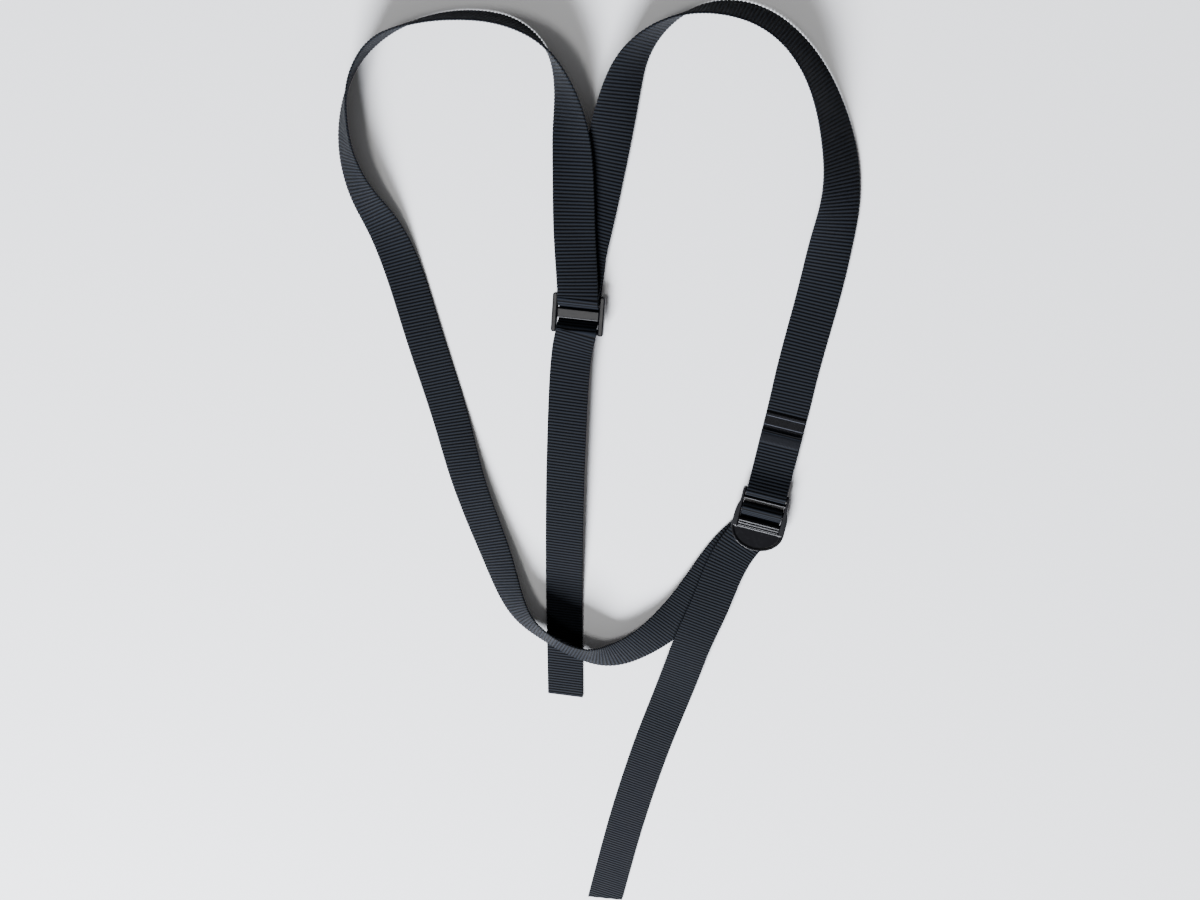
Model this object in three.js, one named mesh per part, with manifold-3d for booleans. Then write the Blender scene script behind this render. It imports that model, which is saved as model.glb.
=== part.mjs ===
import * as THREE from 'three';
import Module from 'manifold-3d';
import { mergeVertices } from 'three/addons/utils/BufferGeometryUtils.js';

// Climbing chest harness laid out flat: one long strap and one short strap of flat webbing,
// joined by a three-bar slider behind the neck and a ladder-lock buckle at the side.
// Millimetres, +Z up, +X to the right of the laid-out harness, +Y towards its shoulder loops.

const webbingWidth = 25;
const webbingThickness = 1.5;
const clearance = 0.3;             // between faces that touch
const layWidth = 300;              // width that the routes' across shares are taken of
const layLength = 630;             // length that the routes' along shares are taken of
const stationStep = 4;             // longest step along a strap

const railWidth = 3.2;             // the slider's side rails
const railPlay = 0.4;              // webbing edge to rail
const buckleEdge = 0.5;            // rounding of the mouldings' edges
const bendGap = 1.15;              // extra slot length that lets the webbing turn
const bendAllowance = 0.2;         // the flats of a bent strip pass this much closer to a bar

const sliderRise = 6.2;            // height of the slider's bars, carried by the standing loops
const sliderBarRadius = 1.9;
const sliderRailProud = 0.2;       // side rails past the bars, above, below and at the ends
const sliderCentreBarLength = 6.4;
const sliderCentreBarThickness = 2.6;
const sliderFoldLength = 28;       // sewn fold of the short strap round the slider's upper bar
const sliderFoldShift = 2;         // sideways set of the right loop's strand where the fold ends

const lockBarRadius = 1.6;
const lockRimWidth = 1.5;
const lockRailTopWidth = 1.8;      // side rails beside the window
const lockRailWidth = 3.7;         // side rails where they flare to the thumb tab
const lockRimHeight = 0.6;         // raised above the bars
const lockTabBarLength = 6.4;
const lockTabBarRidge = 0.35;      // radius of the three grip ridges
const lockTabLength = 14;
const lockTabThickness = 2.2;
const lockTabTilt = 7;             // degrees, thumb tab turned up
const lockTabLip = 0.5;
const lockFoldLength = 40.5;       // sewn fold of the short strap round the end bar
const lockStrandShift = 1.4;       // sideways set of the strands where they leave under the thumb tab

const labelLength = 10.5;          // along the strap
const labelThickness = 0.7;
const labelFromFold = 0.7;         // left between the fold's cut end and the label

// across and along are shares of layWidth and layLength, lift is the height of the lower edge as a
// share of webbingWidth, layers is how many webbing layers it lies on, and lean is the turn about
// the strap's own run in degrees: 0 or 180 lies flat, 90 stands on its edge.
const sliderPlace = { across: -0.040, along: 0.1430, turn: -2.5, pitch: -8 };
const lockPlace = { across: 0.347, along: -0.045, turn: -10 };

const sliderTailRoute = [
  { across: -0.081, along: -0.295, lift: 0, layers: 0, lean: 0 },
  { across: -0.081, along: -0.235, lift: 0, layers: 0, lean: 0 },
  { across: -0.080, along: -0.175, lift: 0.05, layers: 0, lean: 0 },
  { across: -0.075, along: -0.100, lift: 0.21, layers: 0, lean: 0 },
  { across: -0.067, along: 0.000, lift: 0.30, layers: 0, lean: 0 },
  { across: -0.054, along: 0.100, lift: 0.32, layers: 0, lean: 0 },
];
const leftLoopRoute = [
  { across: -0.046, along: 0.225, lift: 0.24, layers: 0, lean: 4 },
  { across: -0.049, along: 0.300, lift: 0.20, layers: 0, lean: -12 },
  { across: -0.059, along: 0.350, lift: 0.03, layers: 0, lean: -48 },
  { across: -0.090, along: 0.386, lift: 0, layers: 0, lean: -74 },
  { across: -0.160, along: 0.408, lift: 0, layers: 0, lean: -92 },
  { across: -0.260, along: 0.413, lift: 0, layers: 0, lean: -96 },
  { across: -0.350, along: 0.406, lift: 0, layers: 0, lean: -92 },
  { across: -0.420, along: 0.392, lift: 0, layers: 0, lean: -88 },
  { across: -0.475, along: 0.363, lift: 0, layers: 0, lean: -101 },
  { across: -0.502, along: 0.325, lift: 0, layers: 0, lean: -119 },
  { across: -0.505, along: 0.285, lift: 0, layers: 0, lean: -134 },
  { across: -0.484, along: 0.249, lift: 0, layers: 0, lean: -149 },
  { across: -0.444, along: 0.215, lift: 0, layers: 0, lean: -168 },
  { across: -0.415, along: 0.178, lift: 0.02, layers: 0, lean: -180 },
  { across: -0.372, along: 0.103, lift: 0, layers: 0, lean: -183 },
  { across: -0.329, along: 0.028, lift: 0, layers: 0, lean: -181 },
  { across: -0.289, along: -0.048, lift: 0.02, layers: 0, lean: -172 },
  { across: -0.236, along: -0.121, lift: 0.02, layers: 0, lean: -166 },
  { across: -0.175, along: -0.192, lift: 0.05, layers: 0, lean: -145 },
  { across: -0.114, along: -0.213, lift: 0.13, layers: 0, lean: -136 },
  { across: -0.040, along: -0.229, lift: 0.13, layers: 0, lean: -138 },
  { across: 0.024, along: -0.233, lift: 0.04, layers: 0, lean: -152 },
  { across: 0.105, along: -0.211, lift: 0, layers: 0, lean: -156 },
  { across: 0.185, along: -0.170, lift: 0, layers: 0, lean: -170 },
  { across: 0.277, along: -0.098, lift: 0, layers: 0, lean: -180 },
];
const lockTailRoute = [
  { across: 0.282, along: -0.106, lift: 0.03, layers: 1, lean: -1 },
  { across: 0.243, along: -0.163, lift: 0.05, layers: 1, lean: -5 },
  { across: 0.209, along: -0.208, lift: 0.05, layers: 1, lean: -5 },
  { across: 0.189, along: -0.241, lift: 0, layers: 1, lean: -2 },
  { across: 0.164, along: -0.281, lift: 0, layers: 0, lean: 0 },
  { across: 0.121, along: -0.348, lift: 0, layers: 0, lean: 0 },
  { across: 0.066, along: -0.450, lift: 0, layers: 0, lean: 0 },
  { across: 0.013, along: -0.570, lift: 0, layers: 0, lean: 0 },
];
const lockTailEndSkew = -16;       // degrees that the lock tail's cut end is off square
const rightLoopRoute = [
  { across: -0.027, along: 0.200, lift: 0.10, layers: 0, lean: 2 },
  { across: -0.004, along: 0.250, lift: 0.04, layers: 0, lean: 4 },
  { across: 0.016, along: 0.295, lift: 0.03, layers: 0, lean: 13 },
  { across: 0.030, along: 0.323, lift: 0.02, layers: 0, lean: 25 },
  { across: 0.045, along: 0.351, lift: 0.01, layers: 0, lean: 39 },
  { across: 0.067, along: 0.380, lift: 0, layers: 0, lean: 57 },
  { across: 0.110, along: 0.404, lift: 0, layers: 0, lean: 75 },
  { across: 0.170, along: 0.420, lift: 0, layers: 0, lean: 91 },
  { across: 0.235, along: 0.424, lift: 0, layers: 0, lean: 102 },
  { across: 0.300, along: 0.417, lift: 0, layers: 0, lean: 105 },
  { across: 0.352, along: 0.401, lift: 0, layers: 0, lean: 106 },
  { across: 0.395, along: 0.377, lift: 0, layers: 0, lean: 111 },
  { across: 0.425, along: 0.349, lift: 0, layers: 0, lean: 119 },
  { across: 0.445, along: 0.320, lift: 0, layers: 0, lean: 129 },
  { across: 0.458, along: 0.288, lift: 0, layers: 0, lean: 138 },
  { across: 0.458, along: 0.257, lift: 0, layers: 0, lean: 149 },
  { across: 0.448, along: 0.227, lift: 0, layers: 0, lean: 164 },
  { across: 0.432, along: 0.180, lift: 0.01, layers: 0, lean: 178 },
  { across: 0.401, along: 0.104, lift: 0, layers: 0, lean: 180 },
];

const webbingMaterial = { color: 0x15161b, roughness: 0.86, metalness: 0 };
const mouldingMaterial = { color: 0x101116, roughness: 0.38, metalness: 0 };
const labelMaterial = { color: 0x0b0b0d, roughness: 0.8, metalness: 0 };

const layerPitch = webbingThickness + clearance;
const strapFromBar = clearance + webbingThickness / 2 + bendAllowance;
const sliderHalfInner = webbingWidth / 2 + railPlay;
const sliderSlot = 2 * webbingThickness + 2 * clearance + bendGap;
const sliderBarY = sliderCentreBarLength / 2 + sliderSlot + sliderBarRadius;
const sliderFoldRadius = sliderBarRadius + strapFromBar;

const lockHalfInner = webbingWidth / 2 + railPlay;
const lockWrapRadius = lockBarRadius + strapFromBar;
const lockOuterRadius = lockWrapRadius + layerPitch + bendAllowance;
const lockHeight = lockOuterRadius + webbingThickness / 2;
const lockTabBarTop = -(lockWrapRadius + webbingThickness / 2 + clearance + 2 * bendGap + webbingThickness);
const lockRimY = lockWrapRadius + webbingThickness / 2 + 2 * bendGap + lockRimWidth / 2;
const lockEndBarY = lockRimY + lockRimWidth / 2 + 2 * clearance + webbingThickness + clearance + lockBarRadius;
const labelY = lockEndBarY + lockFoldLength + labelFromFold + labelLength / 2;

const up = new THREE.Vector3(0, 0, 1);
const degrees = Math.PI / 180;

const sliderGroup = new THREE.Group();
sliderGroup.position.set(sliderPlace.across * layWidth, sliderPlace.along * layLength, sliderRise);
sliderGroup.rotation.set(sliderPlace.pitch * degrees, 0, sliderPlace.turn * degrees, 'ZXY');
sliderGroup.updateMatrixWorld(true);

const lockGroup = new THREE.Group();
lockGroup.position.set(lockPlace.across * layWidth, lockPlace.along * layLength, lockHeight);
lockGroup.rotation.z = lockPlace.turn * degrees;
lockGroup.updateMatrixWorld(true);

// Points of a strap that runs round bars: each bar has its place y, z, the strap centre's radius
// and the side that the bar keeps to, 1 to the right of the run and -1 to the left, as seen with
// y to the right and z up. The run starts and ends in the given directions.
function runRoundBars(bars, startAngle, endAngle) {
  const angles = [startAngle];
  bars.forEach((bar, i) => {
    let angle = endAngle;
    if (i + 1 < bars.length) {
      const next = bars[i + 1];
      const dy = next.y - bar.y;
      const dz = next.z - bar.z;
      const spread = (bar.side * bar.radius - next.side * next.radius) / Math.hypot(dy, dz);
      angle = Math.atan2(dz, dy) - Math.asin(THREE.MathUtils.clamp(spread, -1, 1));
    }
    while (-bar.side * (angle - angles[i]) < -Math.PI / 2) angle -= bar.side * 2 * Math.PI;
    while (-bar.side * (angle - angles[i]) > 1.5 * Math.PI) angle += bar.side * 2 * Math.PI;
    angles.push(angle);
  });
  const points = [];
  bars.forEach((bar, i) => {
    const turn = angles[i + 1] - angles[i];
    const steps = Math.max(1, Math.ceil(Math.abs(turn) / (24 * degrees)));
    for (let k = 0; k <= steps; k += 1) {
      if (k === 1 && Math.abs(turn) < 1e-6) break;
      const angle = angles[i] + (turn * k) / steps;
      points.push({
        x: bar.x ?? 0,
        y: bar.y - bar.side * bar.radius * Math.sin(angle),
        z: bar.z + bar.side * bar.radius * Math.cos(angle),
      });
    }
  });
  return points;
}

// Buckle points become strap stations in the harness frame, their width across the buckle.
function stationsInBuckle(points, group, widthSign) {
  const across = new THREE.Vector3(widthSign, 0, 0).transformDirection(group.matrixWorld);
  return points.map((p) => ({
    point: new THREE.Vector3(p.x, p.y, p.z).applyMatrix4(group.matrixWorld),
    width: across.clone(),
  }));
}

function stationsOnTable(rows) {
  const plan = rows.map((row) => new THREE.Vector3(row.across * layWidth, row.along * layLength, 0));
  return rows.map((row, i) => {
    const before = plan[Math.max(i - 1, 0)];
    const after = plan[Math.min(i + 1, rows.length - 1)];
    const run = after.clone().sub(before).normalize();
    const side = up.clone().cross(run);
    const lean = row.lean * degrees;
    const rise = row.lift * webbingWidth + row.layers * layerPitch
      + (Math.abs(Math.sin(lean)) * webbingWidth + Math.abs(Math.cos(lean)) * webbingThickness) / 2;
    const width = side.multiplyScalar(Math.cos(lean)).addScaledVector(up, Math.sin(lean));
    return { point: plan[i].clone().setZ(rise), width };
  });
}

// A closed strip of webbing through the stations, with splines for its run and for its width.
// The last section can be cut at an angle.
function strapGeometry(stations, endSkew = 0) {
  const runCurve = new THREE.CatmullRomCurve3(stations.map((s) => s.point), false, 'centripetal');
  const widthCurve = new THREE.CatmullRomCurve3(stations.map((s) => s.width), false, 'catmullrom', 0.5);
  const spans = stations.length - 1;
  const places = [];
  for (let i = 0; i < spans; i += 1) {
    const length = stations[i].point.distanceTo(stations[i + 1].point);
    const steps = Math.max(1, Math.ceil(length / stationStep));
    for (let k = 0; k < steps; k += 1) places.push((i + k / steps) / spans);
  }
  places.push(1);
  const corners = [[1, 1], [-1, 1], [-1, -1], [1, -1]];
  const positions = [];
  for (const place of places) {
    const centre = runCurve.getPoint(place);
    const run = runCurve.getTangent(place);
    const width = widthCurve.getPoint(place);
    width.addScaledVector(run, -width.dot(run)).normalize();
    const face = run.clone().cross(width);
    const skew = place === 1 ? Math.tan(endSkew * degrees) : 0;
    for (const [w, t] of corners) {
      const corner = centre.clone()
        .addScaledVector(width, (w * webbingWidth) / 2)
        .addScaledVector(face, (t * webbingThickness) / 2)
        .addScaledVector(run, (skew * w * webbingWidth) / 2);
      positions.push(...corner.toArray());
    }
  }
  const index = [];
  for (let n = 0; n + 1 < places.length; n += 1) {
    for (let k = 0; k < 4; k += 1) {
      const a = 4 * n + k;
      const b = 4 * n + ((k + 1) % 4);
      index.push(a, b, b + 4, a, b + 4, a + 4);
    }
  }
  const last = 4 * (places.length - 1);
  index.push(0, 2, 1, 0, 3, 2, last, last + 1, last + 2, last, last + 2, last + 3);
  const geometry = new THREE.BufferGeometry();
  geometry.setAttribute('position', new THREE.Float32BufferAttribute(positions, 3));
  geometry.setIndex(index);
  geometry.computeVertexNormals();
  return geometry;
}

// Long strap: slider tail, through the slider, left loop, bottom curve, round the lock's centre
// bar and out again as the lock tail.
const sliderCentreHalf = sliderCentreBarThickness / 2;
const sliderCentreEdge = sliderCentreBarLength / 2 - sliderCentreHalf;
const sliderRun = runRoundBars([
  { y: -sliderBarY, z: 0, radius: sliderBarRadius + strapFromBar, side: 1 },
  { y: -sliderCentreEdge, z: 0, radius: sliderCentreHalf + strapFromBar, side: -1 },
  { y: sliderCentreEdge, z: 0, radius: sliderCentreHalf + strapFromBar, side: -1 },
  { y: sliderBarY, z: 0, radius: sliderFoldRadius + layerPitch, side: 1 },
], 4 * degrees, -9 * degrees);

const tabBarNearY = lockTabBarTop - lockBarRadius;
const tabBarFarY = lockTabBarTop - lockTabBarLength + lockBarRadius;
const lockRun = runRoundBars([
  { x: -lockStrandShift, y: tabBarFarY, z: 0, radius: lockOuterRadius, side: -1 },
  { x: -lockStrandShift * 0.1, y: tabBarNearY + lockBarRadius, z: 0, radius: lockOuterRadius, side: -1 },
  { y: 0, z: 0, radius: lockWrapRadius, side: -1 },
  { x: -lockStrandShift * 0.1, y: tabBarNearY, z: 0, radius: lockWrapRadius, side: 1 },
  { x: -lockStrandShift, y: tabBarFarY, z: 0, radius: lockWrapRadius, side: 1 },
], 0, Math.PI);

const longStrap = strapGeometry([
  ...stationsOnTable(sliderTailRoute),
  ...stationsInBuckle(sliderRun, sliderGroup, -1),
  ...stationsOnTable(leftLoopRoute),
  ...stationsInBuckle(lockRun, lockGroup, 1),
  ...stationsOnTable(lockTailRoute),
], lockTailEndSkew);

// The slider is pitched, so this gives the place in it that lies at a height above the table.
function inSliderAt(y, height) {
  const pitch = sliderPlace.pitch * degrees;
  return (height - sliderRise - y * Math.sin(pitch)) / Math.cos(pitch);
}

// Short strap: sewn fold round the slider's upper bar, right loop, sewn fold round the lock's end bar.
const onTable = webbingThickness / 2 - lockHeight;
const sliderFoldEndY = sliderBarY + sliderFoldLength;
const sliderFoldMiddleY = sliderBarY + sliderFoldLength * 0.5;
const sliderFoldRun = [
  { x: sliderFoldShift, y: sliderFoldEndY, z: inSliderAt(sliderFoldEndY, webbingThickness * 0.6) },
  { x: sliderFoldShift * 0.5, y: sliderFoldMiddleY, z: inSliderAt(sliderFoldMiddleY, webbingThickness * 0.8) },
  ...runRoundBars([{ y: sliderBarY, z: 0, radius: sliderFoldRadius, side: 1 }], Math.PI, -14 * degrees),
  { x: sliderFoldShift * 0.5, y: sliderFoldMiddleY, z: inSliderAt(sliderFoldMiddleY, webbingThickness * 0.8 + 1.4 * layerPitch) },
];
const lockFoldRun = [
  { y: labelY + labelLength, z: onTable },
  { y: lockEndBarY + lockFoldLength, z: onTable },
  { y: lockEndBarY + lockFoldLength * 0.55, z: onTable + webbingThickness * 0.07 },
  { y: lockEndBarY + lockFoldLength * 0.3, z: onTable + webbingThickness * 0.4 },
  ...runRoundBars([{ y: lockEndBarY, z: 0, radius: lockWrapRadius, side: 1 }], 176 * degrees, -24 * degrees),
  { y: lockEndBarY + lockFoldLength * 0.3, z: onTable + layerPitch + webbingThickness * 1.07 },
  { y: lockEndBarY + lockFoldLength * 0.55, z: onTable + layerPitch + webbingThickness * 0.2 },
  { y: lockEndBarY + lockFoldLength, z: onTable + layerPitch },
];
const shortStrap = strapGeometry([
  ...stationsInBuckle(sliderFoldRun, sliderGroup, -1),
  ...stationsOnTable(rightLoopRoute),
  ...stationsInBuckle(lockFoldRun, lockGroup, -1),
]);

// Mouldings, joined from rails, bars and plates.
const wasm = await Module();
wasm.setup();

function toSolid(geometry) {
  const bare = geometry.clone();
  bare.deleteAttribute('normal');
  bare.deleteAttribute('uv');
  const merged = mergeVertices(bare, 1e-4);
  return new wasm.Manifold(new wasm.Mesh({
    numProp: 3,
    vertProperties: new Float32Array(merged.attributes.position.array),
    triVerts: new Uint32Array(merged.index.array),
  }));
}

function toGeometry(solid) {
  const mesh = solid.getMesh();
  const geometry = new THREE.BufferGeometry();
  geometry.setAttribute('position', new THREE.BufferAttribute(new Float32Array(mesh.vertProperties), 3));
  geometry.setIndex(new THREE.BufferAttribute(new Uint32Array(mesh.triVerts), 1));
  geometry.computeVertexNormals();
  return geometry;
}

function roundedRectangle(width, height, radius) {
  const x = width / 2;
  const y = height / 2;
  const shape = new THREE.Shape();
  shape.moveTo(-x + radius, -y);
  shape.lineTo(x - radius, -y).absarc(x - radius, -y + radius, radius, -Math.PI / 2, 0);
  shape.lineTo(x, y - radius).absarc(x - radius, y - radius, radius, 0, Math.PI / 2);
  shape.lineTo(-x + radius, y).absarc(-x + radius, y - radius, radius, Math.PI / 2, Math.PI);
  shape.lineTo(-x, -y + radius).absarc(-x + radius, -y + radius, radius, Math.PI, 1.5 * Math.PI);
  return shape;
}

// A plate of the shape between two heights, with rounded edges.
function plate(shape, bottom, top, edge = buckleEdge) {
  const geometry = new THREE.ExtrudeGeometry(shape, {
    depth: top - bottom - 2 * edge, bevelThickness: edge, bevelSize: edge, bevelOffset: -edge,
    bevelSegments: 2, curveSegments: 6,
  });
  return geometry.translate(0, 0, bottom + edge);
}

// A bar across the buckle: a rounded section of the given size along y and z.
function crossBar(halfSpan, sizeY, sizeZ, radius, y, z) {
  const geometry = new THREE.ExtrudeGeometry(roundedRectangle(sizeY, sizeZ, radius), {
    depth: 2 * halfSpan, bevelEnabled: false, curveSegments: 6,
  });
  geometry.translate(0, 0, -halfSpan);
  geometry.rotateX(Math.PI / 2);
  geometry.rotateZ(Math.PI / 2);
  return geometry.translate(0, y, z);
}

function join(geometries) {
  return geometries.map(toSolid).reduce((all, next) => all.add(next));
}

function sliderGeometry() {
  const railX = sliderHalfInner + railWidth / 2;
  const railLength = 2 * (sliderBarY + sliderBarRadius + sliderRailProud);
  const railHalf = sliderBarRadius + sliderRailProud;
  const rails = [-1, 1].map((side) => plate(
    roundedRectangle(railWidth, railLength, railWidth * 0.45), -railHalf, railHalf,
  ).translate(side * railX, 0, 0));
  const barEnd = sliderHalfInner + railWidth / 2;
  const round = 2 * sliderBarRadius;
  return toGeometry(join([
    ...rails,
    crossBar(barEnd, round, round, sliderBarRadius * 0.98, -sliderBarY, 0),
    crossBar(barEnd, sliderCentreBarLength, sliderCentreBarThickness, sliderCentreHalf * 0.7, 0, 0),
    crossBar(barEnd, round, round, sliderBarRadius * 0.98, sliderBarY, 0),
  ]));
}

function ladderLockGeometry() {
  const barEnd = lockHalfInner + lockRailWidth / 2;
  const topBarEnd = lockHalfInner + lockRailTopWidth / 2;
  const topY = lockEndBarY + lockBarRadius;
  const bottomY = lockTabBarTop - lockTabBarLength;
  const rimTop = lockBarRadius + lockRimHeight;
  const round = 2 * lockBarRadius;
  const railRound = lockRailTopWidth * 0.7;
  const flareTop = lockRimY - lockRimWidth;
  const rails = [-1, 1].map((side) => {
    const inner = side * lockHalfInner;
    const top = side * (lockHalfInner + lockRailTopWidth);
    const flared = side * (lockHalfInner + lockRailWidth);
    const shape = new THREE.Shape();
    shape.moveTo(inner, bottomY).lineTo(inner, topY).lineTo(top - side * railRound, topY);
    shape.quadraticCurveTo(top, topY, top, topY - railRound).lineTo(top, flareTop);
    shape.bezierCurveTo(top, flareTop * 0.3, flared, flareTop * 0.2, flared, lockTabBarTop).lineTo(flared, bottomY);
    return plate(shape, -lockBarRadius, rimTop);
  });
  const tabHalf = lockHalfInner + lockRailWidth;
  const tabShape = new THREE.Shape();
  tabShape.moveTo(tabHalf, 0);
  tabShape.bezierCurveTo(tabHalf, -lockTabLength * 0.55, tabHalf * 0.55, -lockTabLength, 0, -lockTabLength);
  tabShape.bezierCurveTo(-tabHalf * 0.55, -lockTabLength, -tabHalf, -lockTabLength * 0.55, -tabHalf, 0);
  const lipHole = new THREE.Path();
  const inner = 0.9;
  lipHole.moveTo(-tabHalf * inner, -lockTabLip * 0.8);
  lipHole.bezierCurveTo(-tabHalf * inner, -lockTabLength * 0.5, -tabHalf * 0.5, -lockTabLength * inner, 0, -lockTabLength * inner);
  lipHole.bezierCurveTo(tabHalf * 0.5, -lockTabLength * inner, tabHalf * inner, -lockTabLength * 0.5, tabHalf * inner, -lockTabLip * 0.8);
  const lipShape = tabShape.clone();
  lipShape.holes.push(lipHole);
  const tabBottom = lockBarRadius - lockTabThickness;
  const tilted = (geometry) => geometry
    .rotateX(-lockTabTilt * degrees)
    .translate(0, bottomY + buckleEdge, tabBottom);
  const ridges = [-1, 0, 1].map((place) => crossBar(
    lockHalfInner - buckleEdge, 2 * lockTabBarRidge, 2 * lockTabBarRidge, lockTabBarRidge * 0.9,
    bottomY + lockTabBarLength / 2 + place * lockTabBarLength * 0.27, lockBarRadius,
  ));
  return toGeometry(join([
    ...rails,
    crossBar(topBarEnd, round, round, lockBarRadius * 0.98, lockEndBarY, 0),
    crossBar(topBarEnd, lockRimWidth, 2 * lockBarRadius + lockRimHeight * 0.55, lockRimWidth * 0.4, lockRimY, lockRimHeight / 2),
    crossBar(barEnd, round, round, lockBarRadius * 0.98, 0, 0),
    crossBar(barEnd, lockTabBarLength, round, lockBarRadius * 0.8, bottomY + lockTabBarLength / 2, 0),
    ...ridges,
    tilted(plate(tabShape, 0, lockTabThickness)),
    tilted(plate(lipShape, lockTabThickness - lockTabLip * 0.6, lockTabThickness + lockTabLip, lockTabLip * 0.3)),
  ]));
}

function labelGeometry() {
  return plate(
    roundedRectangle(webbingWidth - 2 * clearance, labelLength, labelThickness * 1.1),
    0, labelThickness, labelThickness * 0.2,
  );
}

function addMesh(parent, name, geometry, material) {
  const mesh = new THREE.Mesh(geometry, new THREE.MeshStandardMaterial(material));
  mesh.name = name;
  parent.add(mesh);
  return mesh;
}

const laidOut = new THREE.Group();
addMesh(laidOut, 'long_strap', longStrap, webbingMaterial);
addMesh(laidOut, 'short_strap', shortStrap, webbingMaterial);
addMesh(sliderGroup, 'slider', sliderGeometry(), mouldingMaterial);
addMesh(lockGroup, 'ladder_lock', ladderLockGeometry(), mouldingMaterial);
const label = addMesh(lockGroup, 'label', labelGeometry(), labelMaterial);
label.position.set(0, labelY, onTable + webbingThickness / 2 + clearance);
laidOut.add(sliderGroup, lockGroup);

// The origin is under the middle of the laid-out harness, on the table.
const box = new THREE.Box3().setFromObject(laidOut, true);
const middle = box.getCenter(new THREE.Vector3());
laidOut.position.set(-middle.x, -middle.y, -box.min.z);

const harness = new THREE.Group();
harness.add(laidOut);

export default harness;
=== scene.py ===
import math
import random

import bmesh
import bpy
import numpy as np
from mathutils import Matrix, Vector


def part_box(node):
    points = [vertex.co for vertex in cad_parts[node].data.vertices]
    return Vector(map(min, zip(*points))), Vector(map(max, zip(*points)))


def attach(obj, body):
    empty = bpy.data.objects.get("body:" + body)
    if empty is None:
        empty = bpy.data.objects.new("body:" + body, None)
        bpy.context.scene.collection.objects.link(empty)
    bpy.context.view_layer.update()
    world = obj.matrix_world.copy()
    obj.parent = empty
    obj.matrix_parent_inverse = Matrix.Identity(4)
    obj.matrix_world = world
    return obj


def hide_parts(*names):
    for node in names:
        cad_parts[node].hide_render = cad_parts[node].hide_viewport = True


# Climbing chest harness of ribbed webbing, laid out on a table. Metres, +Z up.

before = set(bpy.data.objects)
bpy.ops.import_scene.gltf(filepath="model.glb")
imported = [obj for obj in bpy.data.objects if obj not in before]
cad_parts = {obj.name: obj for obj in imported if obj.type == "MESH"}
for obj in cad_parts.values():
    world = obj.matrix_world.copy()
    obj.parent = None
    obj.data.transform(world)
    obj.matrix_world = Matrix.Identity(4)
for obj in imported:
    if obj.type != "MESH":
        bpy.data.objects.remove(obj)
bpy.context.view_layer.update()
mm = 0.001

layout = {
    "webbingWidth": 25.0,       # mm, as all lengths in this dictionary
    "webbingThickness": 1.5,
    "clearance": 0.3,
    "layWidth": 300.0,
    "layLength": 630.0,
    "bendRoom": 1.15,           # a slot's room beyond the webbing that passes it
    "bendAllowance": 0.2,       # between bent webbing and its bar, beyond the clearance
    "slider": {"across": -0.040, "along": 0.1430, "turn": -2.5, "pitch": -8.0, "rise": 6.2},
    "lock": {"across": 0.347, "along": -0.045, "turn": -10.0, "pitch": 0.0},
}

sliderMoulding = {
    "barRadius": 1.9,           # mm, as all lengths in this dictionary
    "centreBarLength": 6.4,
    "centreBarThickness": 2.6,
    "foldLength": 28.0,
    "foldShift": 2.0,
    "foldEndLift": 0.6,         # middle of the sewn end over the table, as a share of the webbing's thickness
    "foldMiddleLift": 0.8,      # the same, half way along the fold
    "foldPile": 1.4,            # distance of the fold's layers at its middle, in layer pitches
    "tailAngle": 4.0,           # degrees off level where the tail meets the lower bar
    "loopAngle": -9.0,          # degrees off level where the loop leaves the upper bar
    "foldAngle": -14.0,         # degrees off level where the fold leaves the upper bar
    "skinStep": 0.24,           # fineness of the rounded skin
    "edgeRounds": 3,
}

lockMoulding = {
    "barRadius": 1.6,           # mm, as all lengths in this dictionary
    "rimWidth": 1.5,
    "tabBarLength": 6.4,
    "foldLength": 40.5,
    "strandShift": 1.4,
    "nearShiftShare": 0.1,      # of strandShift, at the near edge of the tab bar
    "foldUnderAngle": 176.0,    # degrees where the fold meets the end bar from below
    "foldOverAngle": -24.0,     # degrees where it leaves the end bar above
    "labelLength": 10.5,
    "labelFromFold": 0.7,
    "skinStep": 0.26,
    "edgeRounds": 2,
}

# across and along: shares of the layout's width and length; lift: height of the lower edge as a
# share of the webbing's width; layers: webbing underneath; lean: turn about the run in degrees
sliderTailRoute = [
    # across, along, lift, layers, lean
    (-0.081, -0.295, 0, 0, 0),
    (-0.081, -0.235, 0, 0, 0),
    (-0.080, -0.175, 0.05, 0, 0),
    (-0.075, -0.100, 0.21, 0, 0),
    (-0.067, 0.000, 0.30, 0, 0),
    (-0.054, 0.100, 0.32, 0, 0),
]
leftLoopRoute = [
    (-0.046, 0.225, 0.24, 0, 4),
    (-0.049, 0.300, 0.20, 0, -12),
    (-0.059, 0.350, 0.03, 0, -48),
    (-0.090, 0.386, 0, 0, -74),
    (-0.160, 0.408, 0, 0, -92),
    (-0.260, 0.413, 0, 0, -96),
    (-0.350, 0.406, 0, 0, -92),
    (-0.420, 0.392, 0, 0, -88),
    (-0.475, 0.363, 0, 0, -101),
    (-0.502, 0.325, 0, 0, -119),
    (-0.505, 0.285, 0, 0, -134),
    (-0.484, 0.249, 0, 0, -149),
    (-0.444, 0.215, 0, 0, -168),
    (-0.415, 0.178, 0.02, 0, -180),
    (-0.372, 0.103, 0, 0, -183),
    (-0.329, 0.028, 0, 0, -181),
    (-0.289, -0.048, 0.02, 0, -172),
    (-0.236, -0.121, 0.02, 0, -166),
    (-0.175, -0.192, 0.05, 0, -145),
    (-0.114, -0.213, 0.13, 0, -136),
    (-0.040, -0.229, 0.13, 0, -138),
    (0.024, -0.233, 0.04, 0, -152),
    (0.105, -0.211, 0, 0, -156),
    (0.185, -0.170, 0, 0, -170),
    (0.277, -0.098, 0, 0, -180),
]
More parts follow.
